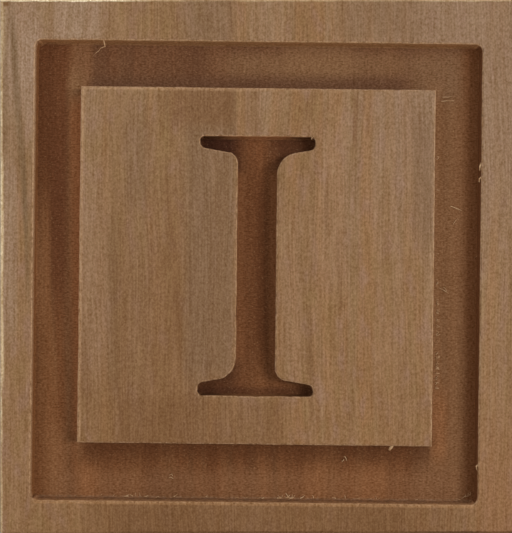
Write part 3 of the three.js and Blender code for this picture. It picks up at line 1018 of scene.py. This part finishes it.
bristle = fibre(FIBRE_WIDTH * 0.8, (0, 0, 0), (0.15, -0.04, 0.03), (0.3, 0, 0.1))
strands += scatter(bristle, 44, (17.15, 1.97, -3.0), (17.0, 1.97, -13.0), (-50, 40), (0.6, 1.3))
strands += scatter(bristle, 14, (17.15, 1.97, 12.0), (17.1, 1.97, -2.0), (-50, 40), (0.5, 1.0))
strands += scatter(bristle, 26, (-2.1, 0.25, 9.0), (-2.3, 0.25, -9.0), (-60, 60), (0.3, 0.6))
strands += scatter(bristle, 30, (-18.0, 1.97, -22.08), (20.0, 1.97, -22.52), (-10, 190), (0.6, 1.4))
strands += scatter(bristle, 12, (2.0, 1.97, -22.33), (4.5, 1.97, -22.36), (0, 180), (0.8, 1.8))
strands += scatter(bristle, 10, (19.4, 1.97, -22.4), (20.6, 1.97, -22.0), (0, 180), (0.7, 1.2))
bpy.data.objects.remove(bristle)
bpy.ops.object.select_all(action="DESELECT")
for strand in strands:
    strand.select_set(True)
fibres = strands[0]
bpy.context.view_layer.objects.active = fibres
bpy.ops.object.join()
fibres.name = "torn_fibres"
fibres.data.transform(Matrix.Translation((MIDDLE.x, FACE_Y, MIDDLE.z)))
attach(fibres, "root")
fibre_wood = bpy.data.materials.new("fibre_wood")
fibre_wood.use_nodes = True
fibre_places = fibre_wood.node_tree.nodes.new("ShaderNodeTexCoord")
fibre_wire = Wire(fibre_wood.node_tree, fibre_places.outputs["Object"])
fibre_tone = grain(fibre_wire, fibre_wire, 0.4 * MM, 0.4 * MM, 1.0).rise(0.3, 0.7)
fibre_colour = fibre_tone.blend(FIBRE_DARK, FIBRE_LIGHT)
fibre_shader = fibre_wood.node_tree.nodes["Principled BSDF"]
fibre_wood.node_tree.links.new(fibre_colour.socket, fibre_shader.inputs["Base Color"])
fibre_shader.inputs["Roughness"].default_value = 0.8
fibre_shader.inputs["Specular IOR Level"].default_value = DRY_WOOD_SHINE
fibres.data.materials.clear()
fibres.data.materials.append(fibre_wood)

# Floor and light
# A pale floor under soft, almost level lamps from the front right, the front left and the
# front, a weak lamp high behind the block, and even light all round before a pale backdrop.
FLOOR_SIZE = 4.0
FLOOR_COLOUR = (0.8, 0.79, 0.77, 1)
FLOOR_ROUGHNESS = 0.9
EVEN_LIGHT_COLOUR = (0.9, 0.9, 0.9, 1)
EVEN_LIGHT_STRENGTH = 0.45
BACKDROP_COLOUR = (0.86, 0.85, 0.83, 1)
FACE_MIDDLE = (0, FACE_Y, MIDDLE.z)
bpy.ops.object.select_all(action="DESELECT")
bpy.ops.mesh.primitive_plane_add(size=FLOOR_SIZE)
floor = bpy.context.object
floor.name = "floor"
floor_paint = bpy.data.materials.new("floor_paint")
floor_paint.use_nodes = True
floor_shader = floor_paint.node_tree.nodes["Principled BSDF"]
floor_shader.inputs["Base Color"].default_value = FLOOR_COLOUR
floor_shader.inputs["Roughness"].default_value = FLOOR_ROUGHNESS
floor.data.materials.append(floor_paint)


def lamp(name, spot, target, width, height, power):
    """A rectangular lamp, turned from its spot towards the target."""
    data = bpy.data.lights.new(name, "AREA")
    data.shape = "RECTANGLE"
    data.size = width
    data.size_y = height
    data.energy = power
    holder = bpy.data.objects.new(name, data)
    bpy.context.scene.collection.objects.link(holder)
    holder.location = spot
    holder.rotation_euler = (Vector(target) - Vector(spot)).to_track_quat("-Z", "Y").to_euler()


lamp("window", (0.46, -0.69, 0.08), FACE_MIDDLE, width=0.33, height=0.15, power=3.0)
lamp("side_fill", (-0.52, -0.67, 0.08), FACE_MIDDLE, width=0.3, height=0.15, power=1.0)
lamp("front_fill", (0.0, -0.75, 0.06), FACE_MIDDLE, width=0.5, height=0.1, power=0.3)
lamp("ceiling", (0.0, 0.25, 0.5), (0, 0.05, 0), width=0.4, height=0.4, power=0.8)
world = bpy.data.worlds.new("studio")
world.use_nodes = True
room = world.node_tree
room.nodes["Background"].inputs["Color"].default_value = EVEN_LIGHT_COLOUR
room.nodes["Background"].inputs["Strength"].default_value = EVEN_LIGHT_STRENGTH
rays = room.nodes.new("ShaderNodeLightPath")
ray = Wire(room, rays.outputs["Is Camera Ray"])
seen = ray.most(Wire(room, rays.outputs["Is Glossy Ray"]))
seen = seen.most(Wire(room, rays.outputs["Is Transmission Ray"]))
backdrop = ray.node("ShaderNodeBackground", {}, {"Color": BACKDROP_COLOUR, "Strength": 1.0})
even_light = Wire(room, room.nodes["Background"].outputs[0])
choice = ray.node("ShaderNodeMixShader", {}, {0: seen, 1: even_light, 2: backdrop})
room.links.new(choice.socket, room.nodes["World Output"].inputs["Surface"])
bpy.context.scene.world = world
bpy.context.scene.view_settings.view_transform = "Standard"

# Camera
# Square on to the front face, close enough that the face fills the frame.
PIXEL = 0.09479 * MM
FRAME_HEIGHT = 533
FRAME_MIDDLE = (256.0, 266.5)
FACE_LEFT_PIXEL = 2.5
FACE_TOP_PIXEL = 1.5
CAMERA_DISTANCE = 117 * MM
camera_data = bpy.data.cameras.new("camera")
camera = bpy.data.objects.new("camera", camera_data)
bpy.context.scene.collection.objects.link(camera)
camera_x = cad_low.x + ARRIS_RADIUS + (FRAME_MIDDLE[0] - FACE_LEFT_PIXEL) * PIXEL
camera_z = cad_high.z - ARRIS_RADIUS - (FRAME_MIDDLE[1] - FACE_TOP_PIXEL) * PIXEL
camera.location = (camera_x, FACE_Y - CAMERA_DISTANCE, camera_z)
camera.rotation_euler = (math.pi / 2, 0, 0)
camera_data.lens = camera_data.sensor_width * CAMERA_DISTANCE / (FRAME_HEIGHT * PIXEL)
camera_data.clip_start = MM
bpy.context.scene.camera = camera
